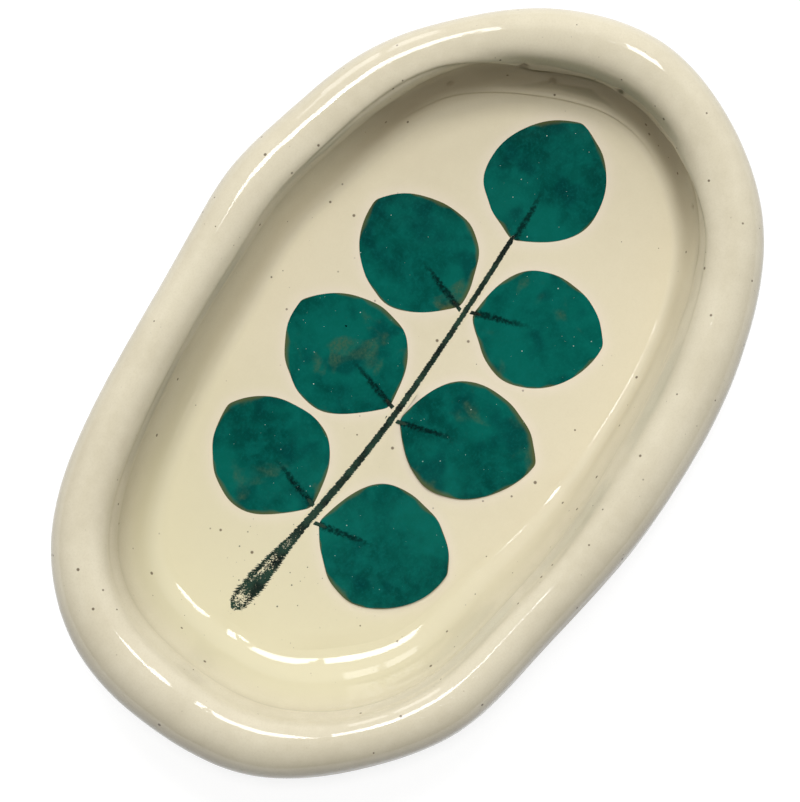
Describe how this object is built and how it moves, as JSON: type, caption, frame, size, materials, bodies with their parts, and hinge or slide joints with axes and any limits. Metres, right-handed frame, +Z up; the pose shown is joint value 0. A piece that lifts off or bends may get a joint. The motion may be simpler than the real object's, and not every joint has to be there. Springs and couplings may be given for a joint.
{
  "type": "ring dish",
  "caption": "Long oval hand-built ring dish with a thick rolled rim, a dished floor and a painted sprig of round leaves.",
  "frame": {"origin": "under the middle of the dish's bounding box, on the surface it stands on", "axes": "+X along the dish towards its broader-walled far end, +Y across it, +Z up out of the hollow"},
  "size_m": [0.13, 0.084, 0.02],
  "materials": {
    "cream_glaze": "gloss cream glaze over speckled stoneware, bare clay under the foot",
    "leaf_slip": "brushed deep green underglaze under clear gloss glaze",
    "stem_slip": "dry-brushed charcoal green underglaze under clear gloss glaze"
  },
  "bodies": {
    "root": {"base_slab": "cream_glaze", "rim_coil": "cream_glaze", "stem": "stem_slip", "leaf_tip": "leaf_slip", "leaf_left_1": "leaf_slip", "leaf_left_2": "leaf_slip", "leaf_left_3": "leaf_slip", "leaf_right_1": "leaf_slip", "leaf_right_2": "leaf_slip", "leaf_right_3": "leaf_slip"}
  },
  "joints": []
}
